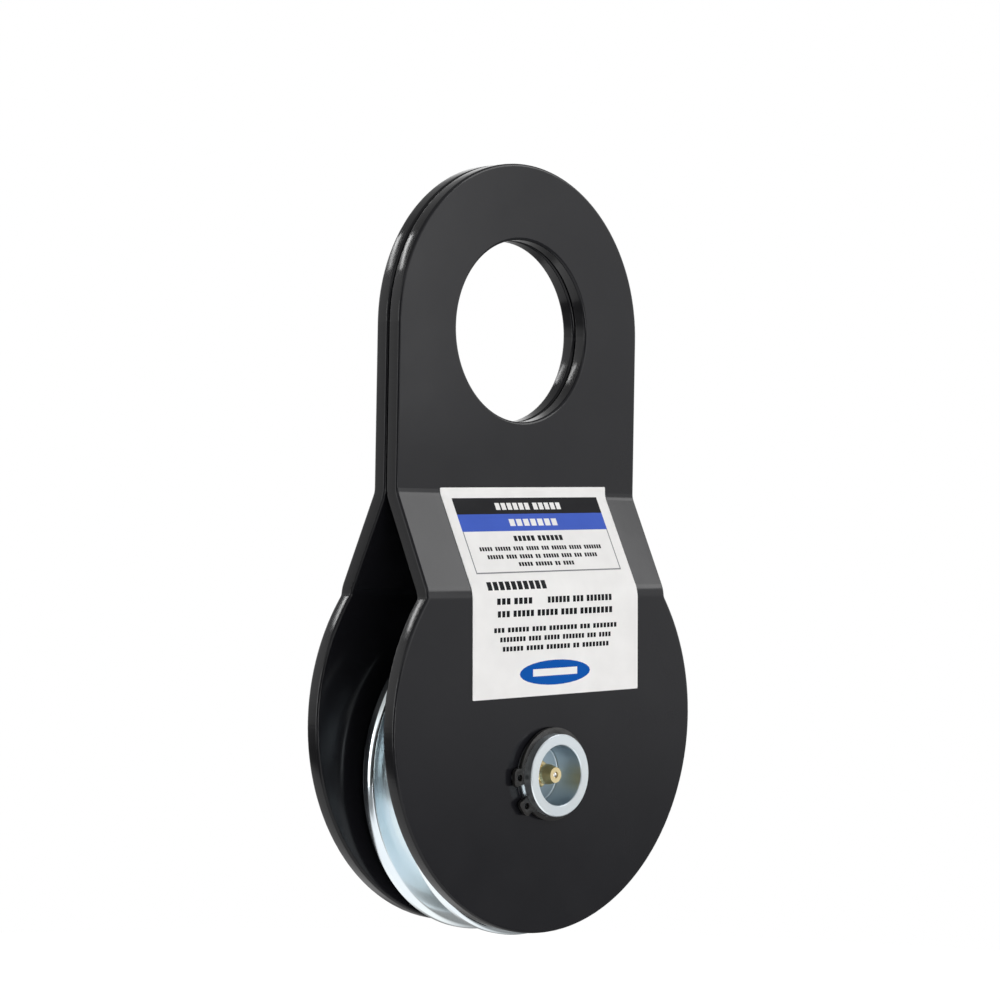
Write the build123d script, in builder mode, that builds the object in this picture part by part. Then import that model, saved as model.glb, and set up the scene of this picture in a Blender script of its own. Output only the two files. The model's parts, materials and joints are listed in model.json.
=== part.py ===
from build123d import *
from math import atan2, cos, degrees, radians, sin, sqrt, tan
import os

os.makedirs("parts", exist_ok=True)

# A snatch block hung by its eye. The origin is the centre of the eye, midway between the two
# cheeks. The front, with the grease nipple and the label, faces -Y, and the eye is at the top.

# Cheek plates
plate_thickness = 4.9
lug_gap = 0.4
lug_half_width = 51.45
eye_radius = 28.0
disc_radius = 63.9
disc_drop = 119.55
axle_drop = 135.3
joggle_offset = 14.2
joggle_top = 51.5
joggle_bottom = 80.9
bend_radius = 5.0
neck_radius = 1.8
plate_edge_radius = 0.8

# Axle and its circlips
axle_radius = 12.5
axle_proud = 5.2
axle_chamfer = 0.3
axle_play = 0.05
end_land = 3.1
clip_groove_radius = 11.95
clip_groove_width = 1.3
clip_thickness = 1.2
clip_outer_radius = 14.15
clip_eccentricity = 0.5
clip_lug_reach = 16.3
clip_lug_width = 5.6
clip_lug_corner = 1.5
clip_hole_radius = 1.0
clip_hole_circle_radius = 14.1
clip_hole_spread = 38.0
clip_gap_angle = 19.0
front_clip_turn = 200.0
rear_clip_turn = 285.0

# Recess, grease drilling and nipple in the front end of the axle
recess_radius = 9.1
recess_depth = 10.2
recess_chamfer = 0.3
recess_floor_radius = 0.5
grease_drill_radius = 1.75
nipple_shank_radius = 3.0
nipple_shank_length = 5.5
nipple_thread_play = 0.05
nipple_hole_spare = 1.0
nipple_hex_flats = 7.0
nipple_hex_height = 2.6
nipple_neck_radius = 2.45
nipple_neck_length = 1.3
nipple_head_radius = 3.1
nipple_head_length = 1.5
nipple_tip_radius = 2.35
nipple_tip_length = 2.8
nipple_edge = 0.25
nipple_lip = 0.5
ball_radius = 1.25
ball_play = 0.05
spring_wire_radius = 0.17
spring_coil_radius = 0.95
spring_play = 0.02
spring_pitch = 1.9
spring_seat_radius = 0.7
spring_seat_length = 5.0

# Sheave, its bush and the thrust washers
rope_diameter = 9.5
rope_seat_play = 0.25
sheave_radius = 49.8
rim_width = 20.4
flange_land = 4.2
flank_angle = 7.5
rim_corner_radius = 1.1
shoulder_radius = 1.8
rim_inner_radius = 32.0
web_thickness = 11.0
hub_radius = 21.5
web_fillet = 2.5
hub_chamfer = 0.8
bush_wall = 2.5
bush_chamfer = 0.3
bush_groove_width = 3.0
bush_groove_depth = 0.8
washer_thickness = 1.5
washer_radius = 20.5
washer_play = 0.15
side_play = 0.15

# Label on the front cheek
label_width = 71.9
label_height = 63.1
label_thickness = 0.15
label_corner = 0.4
label_tilt = 1.25
label_shift = 2.6
label_drop = 79.6

# Levels that follow from the sizes above, measured from the plane midway between the cheeks
lug_face = lug_gap / 2
pocket_face = lug_face + joggle_offset
cheek_face = pocket_face + plate_thickness
axle_half = cheek_face + axle_proud
clip_level = axle_half - end_land - clip_groove_width / 2
recess_floor = axle_half - recess_depth
hub_half = pocket_face - washer_thickness - 2 * side_play
washer_level = pocket_face - side_play - washer_thickness
bush_bore_radius = axle_radius + axle_play
bush_radius = bush_bore_radius + bush_wall
rim_half = rim_width / 2
slope_angle = degrees(atan2(joggle_offset, joggle_bottom - joggle_top))

# Planes and the axis that the turned pieces share
eye_front = Plane.XZ
axle_front = Plane(origin=(0, 0, -axle_drop), x_dir=(1, 0, 0), z_dir=(0, -1, 0))
axle_side = Plane(origin=(0, 0, -axle_drop), x_dir=(0, -1, 0), z_dir=(-1, 0, 0))
axle_axis = Axis((0, 0, -axle_drop), (0, -1, 0))


def joggled_section(start, thickness):
    """Side section of a sheet that follows the front cheek, from start outside its inner face."""
    bend_shift = start * tan(radians(slope_angle / 2))
    top_level = lug_half_width
    bottom_level = -disc_drop - disc_radius
    with BuildSketch(Plane.YZ) as section:
        with BuildLine():
            FilletPolyline(
                (-lug_face - start, top_level),
                (-lug_face - start, bend_shift - joggle_top),
                (-pocket_face - start, bend_shift - joggle_bottom),
                (-pocket_face - start, bottom_level),
                radius=[bend_radius + plate_thickness - start, bend_radius + start],
            )
            offset(amount=thickness, side=Side.RIGHT)
        make_face()
    return section.sketch


def is_outline_edge(edge):
    """True for an edge of the cut outline, which isn't a bend line or a seam across the plate."""
    if edge.geom_type != GeomType.LINE:
        return True
    along = edge.tangent_at(0)
    return abs(along.X) < 0.9 and abs(along.Y) < 0.9


# Front cheek: one joggled plate, cut to its outline, with the eye and the axle bore
with BuildPart() as front_cheek:
    extrude(joggled_section(0, plate_thickness), amount=disc_radius, both=True)
    with BuildSketch(eye_front) as cheek_outline:
        Circle(lug_half_width)
        Rectangle(2 * lug_half_width, disc_drop, align=(Align.CENTER, Align.MAX))
        with Locations((0, -disc_drop)):
            Circle(disc_radius)
        neck = cheek_outline.vertices().filter_by(
            lambda v: abs(abs(v.X) - lug_half_width) < 0.01 and v.Y < -lug_half_width
        )
        fillet(neck, radius=neck_radius)
        Circle(eye_radius, mode=Mode.SUBTRACT)
        with Locations((0, -axle_drop)):
            Circle(axle_radius + axle_play, mode=Mode.SUBTRACT)
    extrude(amount=cheek_face, both=True, mode=Mode.INTERSECT)
    fillet(front_cheek.edges().filter_by(is_outline_edge), radius=plate_edge_radius)
front_cheek.part.label = "front_cheek"
export_step(front_cheek.part, "parts/front_cheek.step")

# Rear cheek: the same pressing, turned to face the other way
with BuildPart() as rear_cheek:
    mirror(front_cheek.part, about=Plane.XZ)
rear_cheek.part.label = "rear_cheek"
export_step(rear_cheek.part, "parts/rear_cheek.step")

# Label: thin vinyl that follows the front cheek over its joggle
with BuildPart() as front_label:
    extrude(joggled_section(plate_thickness, label_thickness), amount=disc_radius, both=True)
    with BuildSketch(eye_front):
        with Locations((label_shift, -label_drop)):
            RectangleRounded(label_width, label_height, label_corner, rotation=label_tilt)
    extrude(amount=axle_half, both=True, mode=Mode.INTERSECT)
front_label.part.label = "front_label"
export_step(front_label.part, "parts/front_label.step")

# Axle: a pin with a circlip groove at each end, a recess for the nipple and a grease drilling
with BuildPart() as axle:
    with BuildSketch(axle_front):
        Circle(axle_radius)
    extrude(amount=axle_half, both=True)
    chamfer(axle.edges().filter_by(GeomType.CIRCLE), length=axle_chamfer)
    for side in (-1, 1):
        with BuildSketch(axle_front.offset(side * clip_level)):
            Circle(axle_radius + axle_chamfer)
            Circle(clip_groove_radius, mode=Mode.SUBTRACT)
        extrude(amount=clip_groove_width / 2, both=True, mode=Mode.SUBTRACT)
    with BuildSketch(axle_front.offset(axle_half)):
        Circle(recess_radius)
    extrude(amount=-recess_depth, mode=Mode.SUBTRACT)
    mouth = axle.edges().filter_by(GeomType.CIRCLE).filter_by(
        lambda e: abs(e.radius - recess_radius) < 0.01 and e.center().Y < -recess_floor - recess_depth / 2
    )
    chamfer(mouth, length=recess_chamfer)
    floor_corner = axle.edges().filter_by(GeomType.CIRCLE).filter_by(
        lambda e: abs(e.radius - recess_radius) < 0.01 and abs(e.center().Y + recess_floor) < 0.01
    )
    fillet(floor_corner, radius=recess_floor_radius)
    with BuildSketch(axle_front.offset(recess_floor)):
        Circle(nipple_shank_radius + nipple_thread_play)
    extrude(amount=-nipple_shank_length - nipple_hole_spare, mode=Mode.SUBTRACT)
    with BuildSketch(axle_front):
        Circle(grease_drill_radius)
    extrude(amount=recess_floor, mode=Mode.SUBTRACT)
    with BuildSketch(Plane.XY.offset(-axle_drop)):
        Circle(grease_drill_radius)
    extrude(amount=2 * axle_radius, mode=Mode.SUBTRACT)
axle.part.label = "axle"
export_step(axle.part, "parts/axle.step")


def circlip_outline(turn):
    """Open ring, thickest opposite its gap, with two plier lugs. turn is where the gap looks."""
    lug_depth = clip_lug_reach - clip_groove_radius
    with BuildSketch() as outline:
        with Locations((-clip_eccentricity, 0)):
            Circle(clip_outer_radius)
        with PolarLocations(
            clip_groove_radius + lug_depth / 2, 2, -clip_hole_spread / 2, clip_hole_spread, endpoint=True
        ):
            RectangleRounded(lug_depth, clip_lug_width, clip_lug_corner)
        Circle(clip_groove_radius, mode=Mode.SUBTRACT)
        gap_half = clip_lug_reach * tan(radians(clip_gap_angle / 2))
        with BuildLine():
            Polyline((0, 0), (clip_lug_reach, gap_half), (clip_lug_reach, -gap_half), close=True)
        make_face(mode=Mode.SUBTRACT)
        with PolarLocations(
            clip_hole_circle_radius, 2, -clip_hole_spread / 2, clip_hole_spread, endpoint=True
        ):
            Circle(clip_hole_radius, mode=Mode.SUBTRACT)
    return outline.sketch.rotate(Axis.Z, turn)


# Circlips that hold the cheeks on the axle
with BuildPart() as front_circlip:
    with BuildSketch(axle_front.offset(clip_level)):
        add(circlip_outline(front_clip_turn))
    extrude(amount=clip_thickness / 2, both=True)
front_circlip.part.label = "front_circlip"
export_step(front_circlip.part, "parts/front_circlip.step")

with BuildPart() as rear_circlip:
    with BuildSketch(axle_front.offset(-clip_level)):
        add(circlip_outline(rear_clip_turn))
    extrude(amount=clip_thickness / 2, both=True)
rear_circlip.part.label = "rear_circlip"
export_step(rear_circlip.part, "parts/rear_circlip.step")

# Sheave: hub, web and a rim with a rope groove whose flanks are tangent to the rope seat
with BuildPart() as sheave:
    seat_radius = rope_diameter / 2 + rope_seat_play
    shoulder = rim_half - flange_land
    flank_foot = seat_radius * cos(radians(flank_angle))
    foot_level = sheave_radius - (shoulder - flank_foot) / tan(radians(flank_angle))
    seat_centre = foot_level + seat_radius * sin(radians(flank_angle))
    web_half = web_thickness / 2
    web_edge = rim_inner_radius - (rim_half - web_half)
    with BuildSketch(axle_side) as sheave_section:
        with BuildLine():
            Polyline(
                (0, bush_radius),
                (hub_half, bush_radius),
                (hub_half, hub_radius),
                (web_half, hub_radius),
                (web_half, web_edge),
                (rim_half, rim_inner_radius),
                (rim_half, sheave_radius),
                (shoulder, sheave_radius),
                (flank_foot, foot_level),
            )
            CenterArc((0, seat_centre), seat_radius, -90, 90 - flank_angle)
            mirror(about=Plane.YZ)
        make_face()
        for corner, radius in (
            ((rim_half, sheave_radius), rim_corner_radius),
            ((shoulder, sheave_radius), shoulder_radius),
            ((web_half, hub_radius), web_fillet),
            ((web_half, web_edge), web_fillet),
        ):
            matching = sheave_section.vertices().filter_by(
                lambda v: abs(abs(v.X) - corner[0]) < 0.01 and abs(v.Y - corner[1]) < 0.01
            )
            fillet(matching, radius=radius)
        hub_corners = sheave_section.vertices().filter_by(
            lambda v: abs(abs(v.X) - hub_half) < 0.01 and abs(v.Y - hub_radius) < 0.01
        )
        chamfer(hub_corners, length=hub_chamfer)
    revolve(axis=axle_axis)
sheave.part.label = "sheave"
export_step(sheave.part, "parts/sheave.step")

# Bush: pressed into the hub, with a grease groove opposite the axle's cross drilling
with BuildPart() as sheave_bush:
    with BuildSketch(axle_front):
        Circle(bush_radius)
        Circle(bush_bore_radius, mode=Mode.SUBTRACT)
    extrude(amount=hub_half, both=True)
    chamfer(sheave_bush.edges().filter_by(GeomType.CIRCLE), length=bush_chamfer)
    with BuildSketch(axle_front):
        Circle(bush_bore_radius + bush_groove_depth)
    extrude(amount=bush_groove_width / 2, both=True, mode=Mode.SUBTRACT)
sheave_bush.part.label = "sheave_bush"
export_step(sheave_bush.part, "parts/sheave_bush.step")

# Thrust washers: one between the hub and each cheek
with BuildPart() as front_thrust_washer:
    with BuildSketch(axle_front.offset(washer_level)):
        Circle(washer_radius)
        Circle(axle_radius + washer_play, mode=Mode.SUBTRACT)
    extrude(amount=washer_thickness)
front_thrust_washer.part.label = "front_thrust_washer"
export_step(front_thrust_washer.part, "parts/front_thrust_washer.step")

with BuildPart() as rear_thrust_washer:
    mirror(front_thrust_washer.part, about=Plane.XZ)
rear_thrust_washer.part.label = "rear_thrust_washer"
export_step(rear_thrust_washer.part, "parts/rear_thrust_washer.step")

# Grease nipple body: hexagon, neck, head and threaded shank, bored through for the check ball
nipple_base = axle_front.offset(recess_floor)
nipple_side = Plane(origin=nipple_base.origin, x_dir=(0, -1, 0), z_dir=(-1, 0, 0))
neck_level = nipple_hex_height + nipple_neck_length
head_level = neck_level + nipple_head_length
tip_level = head_level + nipple_tip_length
seat_level = tip_level - nipple_lip
lip_radius = 0.8 * ball_radius
ball_level = seat_level - sqrt(ball_radius**2 - lip_radius**2)
chamber_radius = ball_radius + ball_play
chamber_end = -nipple_shank_length + spring_seat_length

with BuildPart() as grease_nipple:
    with BuildSketch(nipple_base):
        RegularPolygon(nipple_hex_flats / 2, 6, major_radius=False, rotation=30)
    extrude(amount=nipple_hex_height)
    chamfer(grease_nipple.faces().sort_by(Axis.Y)[0].edges(), length=nipple_edge)
    with BuildSketch(nipple_side):
        with BuildLine():
            Polyline(
                (-nipple_shank_length, 0),
                (-nipple_shank_length, nipple_shank_radius - nipple_edge),
                (-nipple_shank_length + nipple_edge, nipple_shank_radius),
                (0, nipple_shank_radius),
                (nipple_hex_height, nipple_shank_radius),
                (nipple_hex_height, nipple_neck_radius),
                (neck_level, nipple_neck_radius),
                (neck_level, nipple_head_radius - nipple_edge),
                (neck_level + nipple_edge, nipple_head_radius),
                (head_level, nipple_head_radius),
                (tip_level, nipple_tip_radius),
                (tip_level, 0),
                close=True,
            )
        make_face()
    revolve(axis=axle_axis)
    with BuildSketch(nipple_side):
        with BuildLine():
            Polyline(
                (-nipple_shank_length, 0),
                (-nipple_shank_length, spring_seat_radius),
                (chamber_end, spring_seat_radius),
                (chamber_end, chamber_radius),
                (seat_level, chamber_radius),
                (seat_level, lip_radius),
                (tip_level, lip_radius),
                (tip_level, 0),
                close=True,
            )
        make_face()
    revolve(axis=axle_axis, mode=Mode.SUBTRACT)
grease_nipple.part.label = "grease_nipple"
export_step(grease_nipple.part, "parts/grease_nipple.step")

# Check ball: closes the nipple's mouth from inside
with BuildPart() as check_ball:
    with Locations(nipple_base.offset(ball_level)):
        Sphere(ball_radius)
check_ball.part.label = "check_ball"
export_step(check_ball.part, "parts/check_ball.step")

# Check spring: coils from its seat in the shank up to the ball
with BuildPart() as check_spring:
    ball_contact = sqrt((ball_radius + spring_wire_radius + spring_play) ** 2 - spring_coil_radius**2)
    spring_foot = chamber_end + spring_wire_radius + spring_play
    spring_length = ball_level - ball_contact - spring_foot
    foot = nipple_base.offset(spring_foot).origin
    with BuildLine() as coil:
        Helix(spring_pitch, spring_length, spring_coil_radius, center=foot, direction=nipple_base.z_dir)
    with BuildSketch(Plane(origin=coil.line @ 0, z_dir=coil.line % 0)):
        Circle(spring_wire_radius)
    sweep(path=coil.line, is_frenet=True)
check_spring.part.label = "check_spring"
export_step(check_spring.part, "parts/check_spring.step")
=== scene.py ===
import json
from collections import namedtuple
from math import cos, pi, radians, sin

import bmesh
import bpy
from mathutils import Matrix, Quaternion, Vector

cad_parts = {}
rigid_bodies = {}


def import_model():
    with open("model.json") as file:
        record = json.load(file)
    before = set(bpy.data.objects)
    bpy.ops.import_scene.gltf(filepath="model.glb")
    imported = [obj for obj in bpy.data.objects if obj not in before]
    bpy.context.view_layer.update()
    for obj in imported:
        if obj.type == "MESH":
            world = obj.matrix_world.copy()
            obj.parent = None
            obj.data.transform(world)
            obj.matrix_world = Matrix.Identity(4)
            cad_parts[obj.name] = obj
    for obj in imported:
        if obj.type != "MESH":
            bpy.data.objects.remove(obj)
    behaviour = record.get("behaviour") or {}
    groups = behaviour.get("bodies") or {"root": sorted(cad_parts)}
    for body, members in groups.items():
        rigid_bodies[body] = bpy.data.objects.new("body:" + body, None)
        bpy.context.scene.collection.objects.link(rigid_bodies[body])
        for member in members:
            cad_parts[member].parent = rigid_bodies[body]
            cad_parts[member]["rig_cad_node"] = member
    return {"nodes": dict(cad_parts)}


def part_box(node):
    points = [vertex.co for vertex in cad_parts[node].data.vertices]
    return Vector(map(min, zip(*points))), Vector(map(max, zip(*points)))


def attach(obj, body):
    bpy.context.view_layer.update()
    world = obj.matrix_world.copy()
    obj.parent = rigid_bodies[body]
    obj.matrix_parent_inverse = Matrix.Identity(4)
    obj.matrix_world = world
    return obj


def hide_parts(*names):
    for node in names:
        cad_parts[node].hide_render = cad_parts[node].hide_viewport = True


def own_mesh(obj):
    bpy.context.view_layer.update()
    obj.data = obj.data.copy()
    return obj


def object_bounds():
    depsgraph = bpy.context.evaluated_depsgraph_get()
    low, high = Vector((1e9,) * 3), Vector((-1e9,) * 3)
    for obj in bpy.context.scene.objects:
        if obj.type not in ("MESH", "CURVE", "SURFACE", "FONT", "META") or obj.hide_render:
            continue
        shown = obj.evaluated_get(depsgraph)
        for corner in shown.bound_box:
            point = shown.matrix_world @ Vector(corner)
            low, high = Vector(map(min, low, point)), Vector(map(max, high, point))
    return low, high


bl_info = {
    "name": "Snatch block",
    "version": (1, 0, 0),
    "blender": (4, 5, 0),
    "location": "3D View > Sidebar > Snatch block",
    "description": "Dresses the snatch block with its paint, plating, brass and printed label",
    "category": "Object",
}

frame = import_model()
cad_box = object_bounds()
nodes = frame["nodes"]

mm = 0.001
axle_centre = (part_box("axle")[0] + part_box("axle")[1]) / 2
label_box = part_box("front_label")

# The plates: their thickness, the heights between which they slope, and how far the middle of
# that thickness stands from the block's own middle, above the slope and below it
plate_thickness = 4.9 * mm
plate_bends = (-50.4 * mm, -79.8 * mm)
plate_middles = (2.65 * mm, 16.85 * mm)

# Just outside the wall of the recess in the axle's front end, inside which shade is painted, and how
# much rougher that end is
recess_radius = 9.25 * mm
front_roughness = 0.16

# Points closer than this are one, and edges flatter than these angles look smooth
merge_distance = 0.001 * mm
smooth_angle = radians(35)
sheave_smooth_angle = radians(30)


# Sizes and colours that a user may change

class PaintSettings(bpy.types.PropertyGroup):
    """The black paint on the two cheeks"""

    colour: bpy.props.FloatVectorProperty(
        name="Paint", description="Colour of the paint", subtype="COLOR", size=3, min=0, max=1,
        default=(0.0085, 0.0086, 0.0104),
    )
    dusty: bpy.props.FloatVectorProperty(
        name="Paler patches", description="Colour where the paint is a little paler",
        subtype="COLOR", size=3, min=0, max=1, default=(0.0110, 0.0111, 0.0135),
    )
    smoothest: bpy.props.FloatProperty(
        name="Smoothest", description="Roughness of the glossiest patches", default=0.11, min=0, max=1
    )
    roughest: bpy.props.FloatProperty(
        name="Roughest", description="Roughness of the dullest patches", default=0.18, min=0, max=1
    )
    peel_size: bpy.props.FloatProperty(
        name="Peel size", description="Width of the paint's ripples", unit="LENGTH", default=3.5 * mm
    )
    peel_depth: bpy.props.FloatProperty(
        name="Peel depth", description="Depth of the paint's ripples", unit="LENGTH", default=0.004 * mm
    )
    cut_size: bpy.props.FloatProperty(
        name="Cut mark width", description="Width of the cutting marks on the plate's edges",
        unit="LENGTH", default=1.1 * mm,
    )
    cut_depth: bpy.props.FloatProperty(
        name="Cut mark depth", description="Depth of the cutting marks under the paint",
        unit="LENGTH", default=0.02 * mm,
    )
    crown: bpy.props.FloatProperty(
        name="Edge crown", description="How far the middle of a cut edge stands out",
        unit="LENGTH", default=0.09 * mm,
    )


class MetalSettings(bpy.types.PropertyGroup):
    """The bare and plated metals"""

    zinc: bpy.props.FloatVectorProperty(
        name="Zinc", description="Colour of the zinc plating", subtype="COLOR", size=3, min=0, max=1,
        default=(0.86, 0.92, 0.93),
    )
    zinc_shade: bpy.props.FloatVectorProperty(
        name="Zinc shade", description="Colour of the plating's bluer patches",
        subtype="COLOR", size=3, min=0, max=1, default=(0.78, 0.85, 0.90),
    )
    # Painted shade: a darker colour that stands in for the shade inside the axle's recess
    recess: bpy.props.FloatVectorProperty(
        name="Recess", description="Colour of the plating inside the axle's recess",
        subtype="COLOR", size=3, min=0, max=1, default=(0.50, 0.58, 0.63),
    )
    brass: bpy.props.FloatVectorProperty(
        name="Brass", description="Colour of the grease nipple", subtype="COLOR", size=3, min=0, max=1,
        default=(0.95, 0.80, 0.48),
    )
    brass_shade: bpy.props.FloatVectorProperty(
        name="Brass shade", description="Colour of the brass where it has dulled",
        subtype="COLOR", size=3, min=0, max=1, default=(0.82, 0.66, 0.34),
    )
    bronze: bpy.props.FloatVectorProperty(
        name="Bronze", description="Colour of the bush", subtype="COLOR", size=3, min=0, max=1,
        default=(0.62, 0.42, 0.22),
    )
    bronze_shade: bpy.props.FloatVectorProperty(
        name="Bronze shade", description="Colour of the bronze where it has dulled",
        subtype="COLOR", size=3, min=0, max=1, default=(0.40, 0.25, 0.13),
    )
    steel: bpy.props.FloatVectorProperty(
        name="Steel", description="Colour of the washers, ball and spring",
        subtype="COLOR", size=3, min=0, max=1, default=(0.60, 0.59, 0.57),
    )
    steel_shade: bpy.props.FloatVectorProperty(
        name="Steel shade", description="Colour of the steel's darker patches",
        subtype="COLOR", size=3, min=0, max=1, default=(0.44, 0.43, 0.42),
    )
    phosphate: bpy.props.FloatVectorProperty(
        name="Phosphate", description="Colour of the black circlips",
        subtype="COLOR", size=3, min=0, max=1, default=(0.030, 0.028, 0.027),
    )
    phosphate_shade: bpy.props.FloatVectorProperty(
        name="Phosphate shade", description="Colour of the circlips' darker patches",
        subtype="COLOR", size=3, min=0, max=1, default=(0.012, 0.012, 0.012),
    )
    lathe_pitch: bpy.props.FloatProperty(
        name="Lathe marks", description="Spacing of the turning marks", unit="LENGTH", default=0.5 * mm
    )
    lathe_depth: bpy.props.FloatProperty(
        name="Lathe mark depth", description="Depth of the turning marks", unit="LENGTH",
        default=0.004 * mm,
    )
    clip_edge: bpy.props.FloatProperty(
        name="Circlip edge", description="Rounding of the stamped circlips", unit="LENGTH",
        default=0.14 * mm,
    )


class LabelSettings(bpy.types.PropertyGroup):
    """The printed label on the front cheek"""

    width: bpy.props.FloatProperty(
        name="Width", description="Width of the label", unit="LENGTH", default=71.9 * mm
    )
    height: bpy.props.FloatProperty(
        name="Height", description="Height of the label, seen from the front", unit="LENGTH",
        default=63.1 * mm,
    )
    corner: bpy.props.FloatProperty(
        name="Corner", description="Radius of the label's corners", unit="LENGTH", default=0.4 * mm
    )
    thickness: bpy.props.FloatProperty(
        name="Thickness", description="Thickness of the vinyl", unit="LENGTH", default=0.15 * mm
    )
    tilt: bpy.props.FloatProperty(
        name="Tilt", description="Turn of the label on the cheek", unit="ROTATION", default=radians(1.25)
    )
    vinyl: bpy.props.FloatVectorProperty(
        name="Vinyl", description="Colour of the vinyl", subtype="COLOR", size=3, min=0, max=1,
        default=(0.86, 0.85, 0.84),
    )
    black_ink: bpy.props.FloatVectorProperty(
        name="Black ink", description="Colour of the black print", subtype="COLOR", size=3, min=0, max=1,
        default=(0.010, 0.010, 0.012),
    )
    blue_ink: bpy.props.FloatVectorProperty(
        name="Blue ink", description="Colour of the blue print", subtype="COLOR", size=3, min=0, max=1,
        default=(0.055, 0.115, 0.52),
    )
    badge_ink: bpy.props.FloatVectorProperty(
        name="Badge ink", description="Colour of the blue badge", subtype="COLOR", size=3, min=0, max=1,
        default=(0.004, 0.088, 0.40),
    )
    grey_ink: bpy.props.FloatVectorProperty(
        name="Grey ink", description="Colour of the thin frame line",
        subtype="COLOR", size=3, min=0, max=1, default=(0.22, 0.22, 0.23),
    )


class StudioSettings(bpy.types.PropertyGroup):
    """Floor, lamps and camera"""

    floor_drop: bpy.props.FloatProperty(
        name="Floor drop", description="How far the floor lies below the eye", unit="LENGTH",
        default=0.34,
    )
    floor_radius: bpy.props.FloatProperty(
        name="Floor radius", description="Radius of the floor", unit="LENGTH", default=1.05
    )
    sky: bpy.props.FloatProperty(
        name="Room light", description="Strength of the even light of the room", default=0.3
    )
    key: bpy.props.FloatProperty(
        name="Key lamp", description="Brightness of the big softbox high on the right", default=3.85
    )
    side: bpy.props.FloatProperty(
        name="Side lamp", description="Brightness of the low softbox on the right", default=1.0
    )
    rear_fill: bpy.props.FloatProperty(
        name="Rear fill lamp", description="Brightness of the lamp behind, which casts no shine",
        default=1.6,
    )
    strip: bpy.props.FloatProperty(
        name="Strip lamp", description="Brightness of the narrow lamp beside the camera", default=5.0
    )
    fill: bpy.props.FloatProperty(
        name="Fill lamp", description="Brightness of the low lamp in front, which casts no shine",
        default=8.0,
    )
    left: bpy.props.FloatProperty(
        name="Left lamp", description="Brightness of the lamp on the left", default=3.2
    )
    back: bpy.props.FloatProperty(
        name="Back lamp", description="Brightness of the small lamp high at the back", default=18.0
    )


# Small helpers for nodes and meshes

def main_shader(material):
    return material.node_tree.nodes["Principled BSDF"]


def start_material(name, colour, roughness, metallic=0, shine=0.5):
    """A new material and its main shader, with the values that are the same all over."""
    material = bpy.data.materials.new(name)
    material.use_nodes = True
    shader = main_shader(material)
    shader.inputs["Base Color"].default_value = (*colour, 1)
    shader.inputs["Metallic"].default_value = metallic
    shader.inputs["Roughness"].default_value = roughness
    shader.inputs["Specular IOR Level"].default_value = shine
    return material, shader


def add_node(material, kind, **settings):
    """A node of that kind, with its settings and, for names of inputs, their values."""
    node = material.node_tree.nodes.new(kind)
    for name, value in settings.items():
        if hasattr(node, name):
            setattr(node, name, value)
        else:
            node.inputs[name.replace("_", " ").title()].default_value = value
    return node


def join(material, output, target):
    """Links a node's output to another node's input."""
    material.node_tree.links.new(output, target)


def compute(material, operation, first, second=0):
    """The result of an operation on one or two values, each a number or another node's output."""
    node = add_node(material, "ShaderNodeMath", operation=operation)
    for place, value in enumerate((first, second)):
        if isinstance(value, (int, float)):
            node.inputs[place].default_value = value
        else:
            join(material, value, node.inputs[place])
    return node.outputs[0]


def place_of(material, scale=(1, 1, 1), centre=(0, 0, 0)):
    """The object's own coordinates, moved to a centre and then scaled."""
    coordinates = add_node(material, "ShaderNodeTexCoord")
    shift = add_node(material, "ShaderNodeVectorMath", operation="SUBTRACT")
    shift.inputs[1].default_value = centre
    join(material, coordinates.outputs["Object"], shift.inputs[0])
    stretch = add_node(material, "ShaderNodeVectorMath", operation="MULTIPLY")
    stretch.inputs[1].default_value = scale
    join(material, shift.outputs[0], stretch.inputs[0])
    return stretch.outputs[0]


def cloud(material, place, detail):
    """A soft noise at a place, as one grey output."""
    noise = add_node(material, "ShaderNodeTexNoise", scale=1, detail=detail)
    join(material, place, noise.inputs["Vector"])
    return noise.outputs[0]


def noise_over(material, waves, detail, centre=(0, 0, 0)):
    """A soft noise all over the object, with so many waves to the metre."""
    return cloud(material, place_of(material, (waves, waves, waves), centre), detail)


def ramp(material, value, start, end, low, high, shape="LINEAR"):
    """Runs from low to high as a value goes from start to end, and stays level beyond them."""
    ranged = add_node(material, "ShaderNodeMapRange", interpolation_type=shape)
    ends = {"From Min": start, "From Max": end, "To Min": low, "To Max": high}
    for name, number in ends.items():
        ranged.inputs[name].default_value = number
    join(material, value, ranged.inputs["Value"])
    return ranged.outputs["Result"]


def spread(material, grey, low, high):
    """The middle of a noise, spread out to run from low to high."""
    return ramp(material, grey, start=0.3, end=0.7, low=low, high=high)


def fade(material, value, start, end, low, high):
    """A soft step: low where a value is at its start, and high at its end."""
    return ramp(material, value, start, end, low, high, "SMOOTHSTEP")


# The sockets of a colour mix: its two colours and its result
first_colour = 6
second_colour = 7
mixed_colour = 2


def blend_colours(material, grey, first, second):
    """A colour between two, by a grey value."""
    mix = add_node(material, "ShaderNodeMix", data_type="RGBA")
    mix.inputs[first_colour].default_value = (*first, 1)
    mix.inputs[second_colour].default_value = (*second, 1)
    join(material, grey, mix.inputs["Factor"])
    return mix.outputs[mixed_colour]


def add_bump(material, shader, height, depth, before=None):
    """Relief of that depth in metres, on top of an earlier one."""
    bump = add_node(material, "ShaderNodeBump", distance=depth)
    join(material, height, bump.inputs["Height"])
    if before is not None:
        join(material, before, bump.inputs["Normal"])
    join(material, bump.outputs["Normal"], shader.inputs["Normal"])
    return bump.outputs["Normal"]


def deselect_all():
    """Leaves edit mode, with nothing selected."""
    if bpy.context.mode != "OBJECT":
        bpy.ops.object.mode_set(mode="OBJECT")
    bpy.ops.object.select_all(action="DESELECT")


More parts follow.
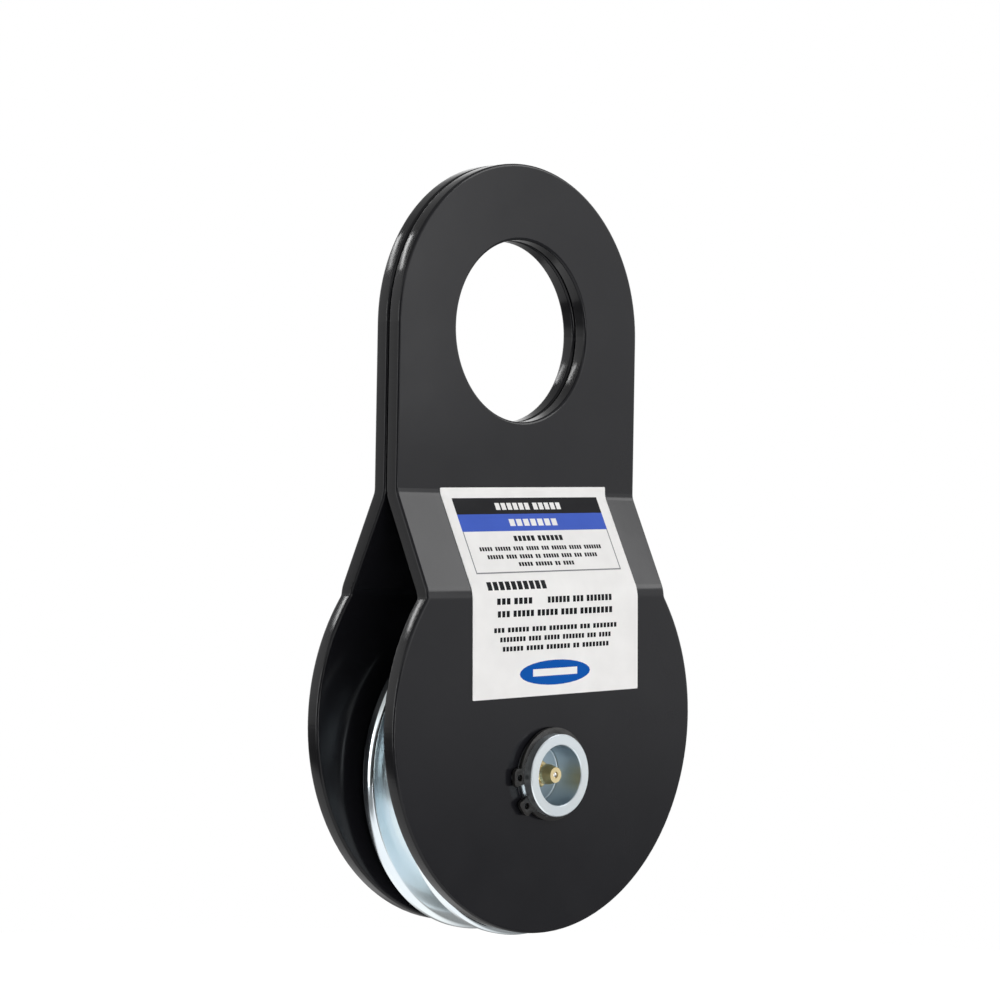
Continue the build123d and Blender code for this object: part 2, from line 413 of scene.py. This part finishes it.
def select_faces(piece, wanted):
    """In edit mode: selects the faces whose middle passes the test, and says how many there are."""
    bpy.ops.mesh.select_mode(type="FACE")
    bpy.ops.mesh.select_all(action="DESELECT")
    mesh = bmesh.from_edit_mesh(piece.data)
    chosen = [face for face in mesh.faces if wanted(face.calc_center_median())]
    for face in chosen:
        face.select_set(True)
    bmesh.update_edit_mesh(piece.data)
    return len(chosen)


def cut_faces(piece, wanted, point, normal):
    """In edit mode: cuts the wanted faces along a plane."""
    if select_faces(piece, wanted):
        bpy.ops.mesh.bisect(plane_co=point, plane_no=normal, threshold=merge_distance)


def finish(piece, material):
    """Gives a piece one material all over."""
    piece.data.materials.clear()
    piece.data.materials.append(material)


# Materials

# How many times longer than wide the cutting marks are, across the plate's edge
cut_stretch = 12


def paint_material(settings):
    """Glossy black paint: faint orange peel on the faces, cutting marks under it on the edges."""
    material, shader = start_material("cheek_paint", settings.colour, roughness=0.25, shine=0.25)
    patches = noise_over(material, waves=28, detail=4)
    colour = blend_colours(material, patches, settings.colour, settings.dusty)
    join(material, colour, shader.inputs["Base Color"])
    gloss = noise_over(material, waves=60, detail=3, centre=(0.01, 0, 0))
    roughness = spread(material, gloss, settings.smoothest, settings.roughest)
    join(material, roughness, shader.inputs["Roughness"])
    peel = noise_over(material, waves=1 / settings.peel_size, detail=2)
    relief = add_bump(material, shader, peel, settings.peel_depth)
    waves = 1 / settings.cut_size
    marks = cloud(material, place_of(material, (waves, waves / cut_stretch, waves)), detail=3)
    coordinates = add_node(material, "ShaderNodeTexCoord")
    facing = add_node(material, "ShaderNodeSeparateXYZ")
    join(material, coordinates.outputs["Normal"], facing.inputs[0])
    flatness = compute(material, "ABSOLUTE", facing.outputs["Y"])
    edge = ramp(material, flatness, start=0.75, end=0.25, low=0, high=1)
    cut = compute(material, "MULTIPLY", marks, edge)
    relief = add_bump(material, shader, cut, settings.cut_depth, relief)
    crown = compute(material, "MULTIPLY", edge_crown(material), edge)
    add_bump(material, shader, crown, settings.crown, relief)
    return material


def edge_crown(material):
    """From 1 in the middle of the plate's thickness to 0 at its faces, on either cheek."""
    parts = add_node(material, "ShaderNodeSeparateXYZ")
    join(material, place_of(material), parts.inputs[0])
    middle = ramp(material, parts.outputs["Z"], *plate_bends, *plate_middles)
    side = compute(material, "ABSOLUTE", parts.outputs["Y"])
    away = compute(material, "SUBTRACT", side, middle)
    share = compute(material, "DIVIDE", away, plate_thickness / 2)
    return compute(material, "SUBTRACT", 1, compute(material, "MULTIPLY", share, share))


# Each turned metal: its colour in the settings, its roughness and how strong its turning marks are
Metal = namedtuple("Metal", "colour roughness marks")
turned_metals = {
    "zinc_plate": Metal("zinc", 0.15, 1.0),
    "axle_zinc_plate": Metal("zinc", 0.17, 1.0),
    "washer_steel": Metal("steel", 0.32, 1.5),
    "bronze": Metal("bronze", 0.3, 1.0),
    "nipple_brass": Metal("brass", 0.34, 0.8),
    "bright_steel": Metal("steel", 0.12, 0.1),
}


def section_place(material):
    """The distance from the axle's axis and the place along it, as one vector."""
    parts = add_node(material, "ShaderNodeSeparateXYZ")
    join(material, place_of(material, centre=axle_centre), parts.inputs[0])
    flat = add_node(material, "ShaderNodeCombineXYZ")
    join(material, parts.outputs["X"], flat.inputs["X"])
    join(material, parts.outputs["Z"], flat.inputs["Z"])
    radius = add_node(material, "ShaderNodeVectorMath", operation="LENGTH")
    join(material, flat.outputs[0], radius.inputs[0])
    section = add_node(material, "ShaderNodeCombineXYZ")
    join(material, radius.outputs["Value"], section.inputs["X"])
    join(material, parts.outputs["Y"], section.inputs["Y"])
    return section.outputs[0]


def turned_metal(name, settings):
    """Metal with turning marks about the axle's axis, cloudy in colour and in gloss."""
    metal = turned_metals[name]
    colour = getattr(settings, metal.colour)
    shade = getattr(settings, metal.colour + "_shade")
    material, shader = start_material(name, colour, metal.roughness, metallic=1)
    patches = noise_over(material, waves=70, detail=5)
    tint = spread(material, patches, 0, 1)
    join(material, blend_colours(material, tint, colour, shade), shader.inputs["Base Color"])
    waves = 1 / settings.lathe_pitch
    stretch = add_node(material, "ShaderNodeVectorMath", operation="MULTIPLY")
    stretch.inputs[1].default_value = (waves, waves, waves)
    join(material, section_place(material), stretch.inputs[0])
    rings = cloud(material, stretch.outputs[0], detail=3)
    gloss = compute(material, "ADD", rings, patches)
    smoothest, roughest = 0.75 * metal.roughness, 1.25 * metal.roughness
    roughness = ramp(material, gloss, start=0.6, end=1.4, low=smoothest, high=roughest)
    join(material, roughness, shader.inputs["Roughness"])
    relief = add_bump(material, shader, rings, metal.marks * settings.lathe_depth)
    grain = noise_over(material, waves=2500, detail=2)
    add_bump(material, shader, grain, depth=0.002 * mm, before=relief)
    return material


def axle_material(settings):
    """Zinc plate like the sheave's, but duller in its front half, with painted shade darkening the
    recess.
    """
    material = turned_metal("axle_zinc_plate", settings)
    shader = main_shader(material)
    parts = add_node(material, "ShaderNodeSeparateXYZ")
    join(material, place_of(material, centre=axle_centre), parts.inputs[0])
    squares = [compute(material, "POWER", parts.outputs[name], 2) for name in ("X", "Z")]
    inside = compute(material, "LESS_THAN", compute(material, "ADD", *squares), recess_radius**2)
    front = compute(material, "LESS_THAN", parts.outputs["Y"], 0)
    recess = compute(material, "MULTIPLY", inside, front)
    # Painted shade: inside the recess the plating's colour gives way to the darker recess colour
    tint = add_node(material, "ShaderNodeMix", data_type="RGBA")
    join(material, recess, tint.inputs["Factor"])
    join(material, shader.inputs["Base Color"].links[0].from_socket, tint.inputs[first_colour])
    tint.inputs[second_colour].default_value = (*settings.recess, 1)
    join(material, tint.outputs[mixed_colour], shader.inputs["Base Color"])
    gloss = shader.inputs["Roughness"].links[0].from_socket
    duller = compute(material, "ADD", gloss, compute(material, "MULTIPLY", front, front_roughness))
    join(material, duller, shader.inputs["Roughness"])
    return material


def phosphate_material(settings):
    """Black phosphated spring steel: dull, with a fine crystalline grain."""
    material, shader = start_material(
        "black_spring_steel", settings.phosphate, roughness=0.42, metallic=0.3
    )
    patches = noise_over(material, waves=350, detail=4)
    tint = spread(material, patches, 0, 1)
    colour = blend_colours(material, tint, settings.phosphate, settings.phosphate_shade)
    join(material, colour, shader.inputs["Base Color"])
    roughness = spread(material, patches, low=0.34, high=0.5)
    join(material, roughness, shader.inputs["Roughness"])
    grain = noise_over(material, waves=3000, detail=3)
    add_bump(material, shader, grain, depth=0.006 * mm)
    return material


# The vinyl's roughness, how far it varies to either side, and how dark its darkest patches are
vinyl_roughness = 0.5
vinyl_variation = 0.15
vinyl_darkest = 0.94


def vinyl_material(name, colour):
    """Printed vinyl: a little uneven in gloss, with a faint ripple from being pressed down."""
    material, shader = start_material(name, colour, vinyl_roughness, shine=0.06)
    darker = [vinyl_darkest * part for part in colour]
    mottle = noise_over(material, waves=120, detail=5)
    tint = spread(material, mottle, 0, 1)
    join(material, blend_colours(material, tint, colour, darker), shader.inputs["Base Color"])
    smoothest, roughest = [vinyl_roughness * (1 + way * vinyl_variation) for way in (-1, 1)]
    gloss = noise_over(material, waves=45, detail=3)
    join(material, spread(material, gloss, smoothest, roughest), shader.inputs["Roughness"])
    ripple = noise_over(material, waves=90, detail=1)
    relief = add_bump(material, shader, ripple, depth=0.03 * mm)
    grain = noise_over(material, waves=2200, detail=1)
    add_bump(material, shader, grain, depth=0.0015 * mm, before=relief)
    return material


# The label's print, in millimetres from its centre: right and up

print_left = -32.0
print_right = 31.7
header_top = 28.3
header_foot = 23.4
band_foot = 18.25
frame_foot = 5.75
frame_line = 0.4
badge_centre = (-1.0, -24.65)
badge_size = (30.6, 7.6)
badge_chords = 14
badge_margin = 1
word_gap = 1.1
letter_share = 0.74

# A row of blocks: its middle's height, its blocks' height, its two ends, its words' lengths, its ink
Row = namedtuple("Row", "middle height left right words ink")
print_rows = (
    Row(25.7, 2.1, -14.6, 14.6, (6, 5), "vinyl"),
    Row(20.8, 2.1, -10.8, 10.8, (7,), "vinyl"),
    Row(16.0, 1.6, -11.2, 10.6, (5, 6), "black"),
    Row(13.0, 1.2, -27.3, 26.3, (5, 6, 4, 5, 3, 6, 5, 7), "black"),
    Row(10.6, 1.2, -25.0, 23.3, (6, 4, 5, 2, 6, 4, 3, 5), "black"),
    Row(8.3, 1.2, -12.7, 11.8, (5, 6, 2, 4), "black"),
    Row(2.1, 2.5, -29.2, -3.4, (10,), "black"),
    Row(-2.5, 1.9, -25.9, -10.5, (3, 4), "black"),
    Row(-2.5, 1.9, -4.3, 24.4, (6, 3, 7), "black"),
    Row(-6.3, 1.9, -25.6, 24.7, (3, 5, 5, 4, 8), "black"),
    Row(-11.1, 1.45, -27.1, 26.6, (3, 6, 4, 8, 3, 7), "black"),
    Row(-13.95, 1.45, -24.6, 23.9, (8, 4, 5, 7, 3, 4), "black"),
    Row(-16.8, 1.45, -23.5, 23.0, (6, 5, 7, 2, 8), "black"),
    Row(-24.5, 2.2, -10.6, 8.6, (1,), "vinyl"),
)


def row_blocks(row):
    """The left and right end of each block in a row: as many to a word as its length."""
    left = row.left
    pitch = (row.right - left - word_gap * (len(row.words) - 1)) / sum(row.words)
    share = letter_share if sum(row.words) > 1 else 1
    blocks = []
    for length in row.words:
        for letter in range(length):
            blocks.append((left, left + share * pitch))
            left += pitch
        left += word_gap
    return blocks


def row_levels(row):
    """The heights of a row's lower and upper edge."""
    return row.middle - row.height / 2, row.middle + row.height / 2


def in_box(place, left, right, foot, top):
    """True inside a box on the flat label."""
    return left < place.x / mm < right and foot < place.y / mm < top


def in_badge(place):
    """True inside the badge, an oval."""
    across = (place.x / mm - badge_centre[0]) / (badge_size[0] / 2)
    up = (place.y / mm - badge_centre[1]) / (badge_size[1] / 2)
    return across**2 + up**2 < 1


def ink_at(place):
    """The ink at a place on the flat label, or vinyl where nothing is printed."""
    for row in print_rows:
        for left, right in row_blocks(row):
            if in_box(place, left, right, *row_levels(row)):
                return row.ink
    if in_badge(place):
        return "badge"
    if in_box(place, print_left, print_right, header_foot, header_top):
        return "black"
    if in_box(place, print_left, print_right, band_foot, header_foot):
        return "blue"
    inside = in_box(
        place, print_left + frame_line, print_right - frame_line, frame_foot + frame_line, band_foot
    )
    if in_box(place, print_left, print_right, frame_foot, band_foot) and not inside:
        return "grey"
    return "vinyl"


def cut_print(label):
    """In edit mode: cuts the flat label along the edges of its print."""
    levels = {header_top, header_foot, band_foot, frame_foot, frame_foot + frame_line}
    for row in print_rows:
        levels |= set(row_levels(row))
    levels |= {badge_centre[1] - badge_size[1] / 2, badge_centre[1] + badge_size[1] / 2}
    for level in sorted(levels):
        cut_faces(label, lambda place: True, (0, level * mm, 0), (0, 1, 0))
    for edge in (print_left, print_right):
        cut_faces(
            label, lambda place: frame_foot < place.y / mm < header_top, (edge * mm, 0, 0), (1, 0, 0)
        )
    for edge in (print_left + frame_line, print_right - frame_line):
        cut_faces(
            label, lambda place: frame_foot < place.y / mm < band_foot, (edge * mm, 0, 0), (1, 0, 0)
        )
    cut_badge(label)
    for row in print_rows:
        foot, top = row_levels(row)
        for ends in row_blocks(row):
            for end in ends:
                cut_faces(label, lambda place: foot < place.y / mm < top, (end * mm, 0, 0), (1, 0, 0))


def cut_badge(label):
    """In edit mode: cuts the badge's outline in short chords, one side after the other."""
    angles = [(index / badge_chords - 0.5) * pi for index in range(badge_chords + 1)]
    heights = [badge_centre[1] + badge_size[1] / 2 * sin(angle) for angle in angles]
    reach = badge_size[0] / 2 + badge_margin
    middle = badge_centre[0]

    def near(low, high):
        return lambda place: abs(place.x / mm - middle) < reach and low < place.y / mm < high

    lowest, highest = heights[0], heights[-1]
    for edge in (middle - reach, middle, middle + reach):
        cut_faces(label, lambda place: lowest < place.y / mm < highest, (edge * mm, 0, 0), (1, 0, 0))
    for height in heights[1:-1]:
        cut_faces(label, near(lowest, highest), (0, height * mm, 0), (0, 1, 0))
    for side in (-1, 1):
        ends = [middle + side * badge_size[0] / 2 * cos(angle) for angle in angles]
        for start in range(badge_chords):
            foot = Vector((ends[start], heights[start], 0))
            top = Vector((ends[start + 1], heights[start + 1], 0))
            along = (top - foot).normalized()
            strip = near(foot.y, top.y)
            cut_faces(
                label,
                lambda place: side * (place.x / mm - middle) > 0 and strip(place),
                foot * mm,
                (along.y, -along.x, 0),
            )


# How far in front of the cheek the flat label starts, and the cuts on each side of a bend
label_start = 5 * mm
bend_cuts = 6
bend_step = 0.5 * mm


def model_label(settings):
    """The printed label: a cut sheet that is laid on the cheek's face and over its bends."""
    deselect_all()
    bpy.ops.mesh.primitive_plane_add(size=1)
    label = bpy.context.object
    label.name = "printed_label"
    bpy.ops.object.mode_set(mode="EDIT")
    bpy.ops.transform.resize(value=(settings.width, settings.height, 1))
    bpy.ops.mesh.bevel(offset=settings.corner, segments=4, affect="VERTICES")
    cut_print(label)
    bpy.ops.object.mode_set(mode="OBJECT")
    inks = ("vinyl", "black", "blue", "badge", "grey")
    for ink in inks:
        colour = settings.vinyl if ink == "vinyl" else getattr(settings, ink + "_ink")
        label.data.materials.append(vinyl_material("label_" + ink, colour))
    for face in label.data.polygons:
        face.material_index = inks.index(ink_at(face.center))
    middle = (label_box[0] + label_box[1]) / 2
    label.location = (middle.x, label_box[0].y - label_start, middle.z)
    label.rotation_euler = (radians(90), -settings.tilt, 0)
    bpy.ops.object.transform_apply(location=True, rotation=True, scale=True)
    return label


def lay_on_cheek(label, settings):
    """Presses the flat label on the front cheek and gives it its thickness."""
    bpy.ops.object.mode_set(mode="EDIT")
    for bend in plate_bends:
        for step in range(-bend_cuts, bend_cuts + 1):
            cut_faces(label, lambda place: True, (0, 0, bend + step * bend_step), (0, 0, 1))
    bpy.ops.object.mode_set(mode="OBJECT")
    wrap = label.modifiers.new("On the cheek", "SHRINKWRAP")
    wrap.target = nodes["front_cheek"]
    wrap.wrap_method = "PROJECT"
    wrap.use_project_y = True
    wrap.use_positive_direction = True
    wrap.use_negative_direction = False
    bpy.ops.object.modifier_apply(modifier=wrap.name)
    wall = label.modifiers.new("Vinyl", "SOLIDIFY")
    wall.thickness = settings.thickness
    wall.offset = 1
    bpy.ops.object.modifier_apply(modifier=wall.name)
    bpy.ops.object.shade_smooth_by_angle(angle=smooth_angle)


def start_copy(name, new_name):
    """A copy of a CAD node, in edit mode with everything selected and its doubles merged."""
    deselect_all()
    source = nodes[name]
    source.select_set(True)
    bpy.context.view_layer.objects.active = source
    bpy.ops.object.duplicate()
    piece = bpy.context.object
    piece.name = new_name
    del piece["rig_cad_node"]
    bpy.ops.object.mode_set(mode="EDIT")
    bpy.ops.mesh.select_all(action="SELECT")
    bpy.ops.mesh.remove_doubles(threshold=merge_distance)
    return piece


def turn_again(name, new_name, steps):
    """A round CAD node made anew in finer steps, from the half section above its axis."""
    piece = start_copy(name, new_name)
    bpy.ops.mesh.bisect(plane_co=axle_centre, plane_no=(1, 0, 0), clear_inner=True, clear_outer=True)
    bpy.ops.mesh.select_all(action="DESELECT")
    bpy.ops.mesh.select_mode(type="VERT")
    mesh = bmesh.from_edit_mesh(piece.data)
    for vertex in mesh.verts:
        vertex.select_set(vertex.co.z < axle_centre.z)
    bmesh.update_edit_mesh(piece.data)
    bpy.ops.mesh.delete(type="VERT")
    bpy.ops.mesh.select_all(action="SELECT")
    bpy.ops.mesh.remove_doubles(threshold=merge_distance)
    bpy.ops.mesh.spin(steps=steps, angle=2 * pi, center=axle_centre, axis=(0, 1, 0))
    bpy.ops.mesh.select_all(action="SELECT")
    bpy.ops.mesh.remove_doubles(threshold=merge_distance)
    bpy.ops.mesh.normals_make_consistent(inside=False)
    bpy.ops.object.mode_set(mode="OBJECT")
    bpy.ops.object.shade_smooth_by_angle(angle=sheave_smooth_angle)
    return piece


def rounded_copy(name, edge, new_name):
    """A copy of a CAD node with its sharp edges rounded."""
    piece = start_copy(name, new_name)
    bpy.ops.mesh.dissolve_limited(angle_limit=radians(1))
    bpy.ops.object.mode_set(mode="OBJECT")
    soften = piece.modifiers.new("Stamped edge", "BEVEL")
    soften.width = edge
    soften.segments = 2
    soften.limit_method = "ANGLE"
    soften.angle_limit = radians(50)
    bpy.ops.object.modifier_apply(modifier=soften.name)
    bpy.ops.object.shade_smooth_by_angle(angle=smooth_angle)
    return piece


# Operators: one for each piece or group of like pieces, and one for the stage

class PaintCheeks(bpy.types.Operator):
    """Paint the two cheeks"""

    bl_idname = "snatch_block.paint_cheeks"
    bl_label = "Paint the cheeks"

    def execute(self, context):
        paint = paint_material(context.scene.block_paint)
        for name in ("front_cheek", "rear_cheek"):
            finish(nodes[name], paint)
        return {"FINISHED"}


class MakeLabel(bpy.types.Operator):
    """Model the printed label and lay it on the front cheek"""

    bl_idname = "snatch_block.make_label"
    bl_label = "Make the label"

    def execute(self, context):
        settings = context.scene.block_label
        label = model_label(settings)
        lay_on_cheek(label, settings)
        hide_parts("front_label")
        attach(label, "front_cheek")
        return {"FINISHED"}


class MakeCirclips(bpy.types.Operator):
    """Round the stamped circlips and blacken them"""

    bl_idname = "snatch_block.make_circlips"
    bl_label = "Make the circlips"

    def execute(self, context):
        settings = context.scene.block_metal
        black = phosphate_material(settings)
        for side in ("front", "rear"):
            clip = rounded_copy(side + "_circlip", settings.clip_edge, side + "_stamped_circlip")
            finish(clip, black)
            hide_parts(side + "_circlip")
            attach(clip, "axle")
        return {"FINISHED"}


class TurnSheave(bpy.types.Operator):
    """Turn the sheave from its section and plate it"""

    bl_idname = "snatch_block.turn_sheave"
    bl_label = "Turn the sheave"

    def execute(self, context):
        zinc = turned_metal("zinc_plate", context.scene.block_metal)
        sheave = turn_again("sheave", "turned_sheave", steps=240)
        finish(sheave, zinc)
        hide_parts("sheave")
        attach(sheave, "sheave")
        return {"FINISHED"}


class FinishMetal(bpy.types.Operator):
    """Finish the axle, nipple and the other turned pieces"""

    bl_idname = "snatch_block.finish_metal"
    bl_label = "Finish the metal"

    def execute(self, context):
        settings = context.scene.block_metal
        washer = turned_metal("washer_steel", settings)
        bright = turned_metal("bright_steel", settings)
        finishes = {
            "axle": axle_material(settings),
            "front_thrust_washer": washer,
            "rear_thrust_washer": washer,
            "sheave_bush": turned_metal("bronze", settings),
            "grease_nipple": turned_metal("nipple_brass", settings),
            "check_ball": bright,
            "check_spring": bright,
        }
        for name, material in finishes.items():
            finish(nodes[name], material)
        return {"FINISHED"}


class CoilSpring(bpy.types.Operator):
    """Make the check spring anew, as a smooth copy with its own mesh"""

    bl_idname = "snatch_block.coil_spring"
    bl_label = "Coil the spring"

    def execute(self, context):
        spring = start_copy("check_spring", "coiled_spring")
        bpy.ops.object.mode_set(mode="OBJECT")
        bpy.ops.object.shade_smooth_by_angle(angle=smooth_angle)
        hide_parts("check_spring")
        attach(spring, "axle")
        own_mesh(spring)
        return {"FINISHED"}


# Each lamp looks at the block, from so many degrees to the right of its front and above its middle.
# It has a distance and a size in metres, its brightness in the settings, a use and a roll in
# degrees. A lamp of use "shine" shows only in what mirrors it, and one of use "fill" never does.
Lamp = namedtuple("Lamp", "name turn rise distance width height setting use roll", defaults=("both", 0))
lamps = (
    Lamp("key_softbox", 45, 36, 1.5, 0.75, 0.82, "key"),
    Lamp("side_softbox", 24, 11, 1.6, 1.1, 0.45, "side"),
    Lamp("fill_lamp", -10, -10, 1.0, 1.2, 0.2, "fill", "fill"),
    Lamp("rear_fill_lamp", 165, 20, 1.4, 1.0, 0.8, "rear_fill", "fill"),
    Lamp("strip_lamp", -24, -10, 1.3, 0.36, 0.56, "strip", "shine"),
    Lamp("left_lamp", -100, 0, 1.4, 0.6, 0.9, "left", "shine"),
    Lamp("back_lamp", 207, 36, 1.4, 0.45, 0.06, "back", "shine", -36),
)


def hang_lamp(lamp, brightness):
    """Hangs a lamp, whose brightness is what its face shows in a mirror."""
    light = bpy.data.lights.new(lamp.name, "AREA")
    light.shape = "RECTANGLE"
    light.size = lamp.width
    light.size_y = lamp.height
    light.energy = brightness * pi * lamp.width * lamp.height
    holder = bpy.data.objects.new(lamp.name, light)
    holder.visible_camera = False
    holder.visible_diffuse = lamp.use != "shine"
    holder.visible_glossy = lamp.use != "fill"
    bpy.context.scene.collection.objects.link(holder)
    middle = (Vector(cad_box[0]) + Vector(cad_box[1])) / 2
    turn, rise, roll = radians(lamp.turn), radians(lamp.rise), radians(lamp.roll)
    away = Vector((sin(turn) * cos(rise), -cos(turn) * cos(rise), sin(rise)))
    holder.location = middle + lamp.distance * away
    aim = (-away).to_track_quat("-Z", "Y") @ Quaternion((0, 0, 1), roll)
    holder.rotation_euler = aim.to_euler()


# The floor is nearly white to the camera. Metal sees a painted lit strip on it, from front to back: a
# glow that shows only in reflections, with painted shadow to either side.
floor_white = 0.9
painted_strip_middle = (-0.15, 0, 0)


def seen_directly(material):
    """1 for a ray from the camera, also through glass, and 0 for any other."""
    path = add_node(material, "ShaderNodeLightPath")
    return compute(
        material, "MAXIMUM", path.outputs["Is Camera Ray"], path.outputs["Is Transmission Ray"]
    )


def floor_material():
    """Pale floor that keeps soft shadows, and to mirrors glows as a painted lit strip, with painted
    shadow to either side.
    """
    grey = (0.25, 0.25, 0.25)
    material, shader = start_material("studio_floor", grey, roughness=0.9, shine=0)
    shader.inputs["Emission Color"].default_value = (1, 1, 1, 1)
    away = add_node(material, "ShaderNodeVectorMath", operation="LENGTH")
    join(material, place_of(material, (1, 0, 0), painted_strip_middle), away.inputs[0])
    # Painted reflection: glossy rays see a glow along the strip, fading to a dim painted shadow beside
    # it
    bright = fade(material, away.outputs["Value"], start=0.17, end=0.30, low=0.95, high=0.12)
    path = add_node(material, "ShaderNodeLightPath")
    painted_reflection = compute(material, "MULTIPLY", path.outputs["Is Glossy Ray"], bright)
    direct = compute(material, "MULTIPLY", seen_directly(material), floor_white)
    glow = compute(material, "ADD", painted_reflection, direct)
    join(material, glow, shader.inputs["Emission Strength"])
    return material


# The direction of a dark place behind the camera
dark_direction = (-0.70, -0.71, 0)


def light_room(settings):
    """The room: white behind the block, even light from all round, and for the shine of paint and
    metal a bright band at the horizon with a dark place behind the camera."""
    world = bpy.data.worlds.new("studio")
    world.use_nodes = True
    bpy.context.scene.world = world
    world.node_tree.nodes.clear()
    coordinates = add_node(world, "ShaderNodeTexCoord")
    direction = add_node(world, "ShaderNodeSeparateXYZ")
    join(world, coordinates.outputs["Generated"], direction.inputs[0])
    behind = add_node(world, "ShaderNodeVectorMath", operation="DOT_PRODUCT")
    behind.inputs[1].default_value = dark_direction
    join(world, coordinates.outputs["Generated"], behind.inputs[0])

    height = direction.outputs["Z"]
    below = fade(world, height, start=-0.13, end=-0.05, low=0.34, high=1)
    rising = fade(world, height, start=0, end=0.12, low=1, high=1.28)
    above = fade(world, height, start=0.38, end=0.6, low=1, high=0.4)
    dark = fade(world, behind.outputs["Value"], start=0.87, end=0.95, low=1, high=0.05)
    band = compute(world, "MULTIPLY", below, rising)
    band = compute(world, "MULTIPLY", band, compute(world, "MULTIPLY", above, dark))
    white = seen_directly(world)
    shine = add_node(world, "ShaderNodeLightPath").outputs["Is Glossy Ray"]
    rest = compute(world, "SUBTRACT", 1, compute(world, "MAXIMUM", white, shine))
    seen = compute(world, "MAXIMUM", white, compute(world, "MULTIPLY", shine, band))
    background = add_node(world, "ShaderNodeBackground")
    strength = compute(world, "ADD", seen, compute(world, "MULTIPLY", rest, settings.sky))
    join(world, strength, background.inputs["Strength"])
    background.inputs["Color"].default_value = (1, 1, 1, 1)
    output = add_node(world, "ShaderNodeOutputWorld")
    join(world, background.outputs[0], output.inputs["Surface"])


# The camera of the photograph, as its outline and edges give it: place in metres, turns in
# degrees, and lens and sensor in millimetres
camera_place = (-0.611666, -0.617225, -0.057017)
camera_yaw = 44.571
camera_pitch = 0.325
camera_roll = 0.983
camera_lens = 101.19
camera_sensor = 36


def place_camera():
    """Puts the camera at the photograph's viewing angle."""
    lens = bpy.data.cameras.new("photo_camera")
    lens.sensor_width = camera_sensor
    lens.lens = camera_lens
    lens.clip_start = 0.01
    camera = bpy.data.objects.new("photo_camera", lens)
    bpy.context.scene.collection.objects.link(camera)
    yaw, pitch, roll = [radians(turn) for turn in (camera_yaw, camera_pitch, camera_roll)]
    ahead = Vector((sin(yaw) * cos(pitch), cos(yaw) * cos(pitch), sin(pitch)))
    right = ahead.cross(Vector((0, 0, 1))).normalized()
    up = right.cross(ahead)
    turned_right = right * cos(roll) + up * sin(roll)
    turned_up = up * cos(roll) - right * sin(roll)
    turn = Matrix((turned_right, turned_up, -ahead)).transposed().to_4x4()
    camera.matrix_world = Matrix.Translation(camera_place) @ turn
    bpy.context.scene.camera = camera


class SetStage(bpy.types.Operator):
    """Set up the floor, the lamps, the room and the camera"""

    bl_idname = "snatch_block.set_stage"
    bl_label = "Set the stage"

    def execute(self, context):
        settings = context.scene.block_studio
        deselect_all()
        bpy.ops.mesh.primitive_circle_add(
            vertices=96,
            radius=settings.floor_radius,
            fill_type="NGON",
            location=(0, 0, -settings.floor_drop),
        )
        floor = context.object
        floor.name = "studio_floor"
        bpy.ops.object.transform_apply(location=True, rotation=True, scale=True)
        floor.data.materials.append(floor_material())
        for lamp in lamps:
            hang_lamp(lamp, getattr(settings, lamp.setting))
        light_room(settings)
        place_camera()
        context.scene.view_settings.view_transform = "Standard"
        return {"FINISHED"}


class BlockPanel(bpy.types.Panel):
    """Lists the steps that dress the snatch block"""

    bl_idname = "VIEW3D_PT_snatch_block"
    bl_label = "Snatch block"
    bl_space_type = "VIEW_3D"
    bl_region_type = "UI"
    bl_category = "Snatch block"

    def draw(self, context):
        for operator in steps:
            self.layout.operator(operator.bl_idname)


steps = (PaintCheeks, MakeLabel, MakeCirclips, TurnSheave, FinishMetal, CoilSpring, SetStage)
groups = {
    "block_paint": PaintSettings,
    "block_metal": MetalSettings,
    "block_label": LabelSettings,
    "block_studio": StudioSettings,
}


def register():
    for kind in (*groups.values(), *steps, BlockPanel):
        bpy.utils.register_class(kind)
    for name, kind in groups.items():
        setattr(bpy.types.Scene, name, bpy.props.PointerProperty(type=kind))


def unregister():
    for name in groups:
        delattr(bpy.types.Scene, name)
    for kind in reversed((*groups.values(), *steps, BlockPanel)):
        bpy.utils.unregister_class(kind)


def main():
    register()
    bpy.ops.snatch_block.paint_cheeks()
    bpy.ops.snatch_block.make_label()
    bpy.ops.snatch_block.make_circlips()
    bpy.ops.snatch_block.turn_sheave()
    bpy.ops.snatch_block.finish_metal()
    bpy.ops.snatch_block.coil_spring()
    bpy.ops.snatch_block.set_stage()


if __name__ == "__main__":
    main()
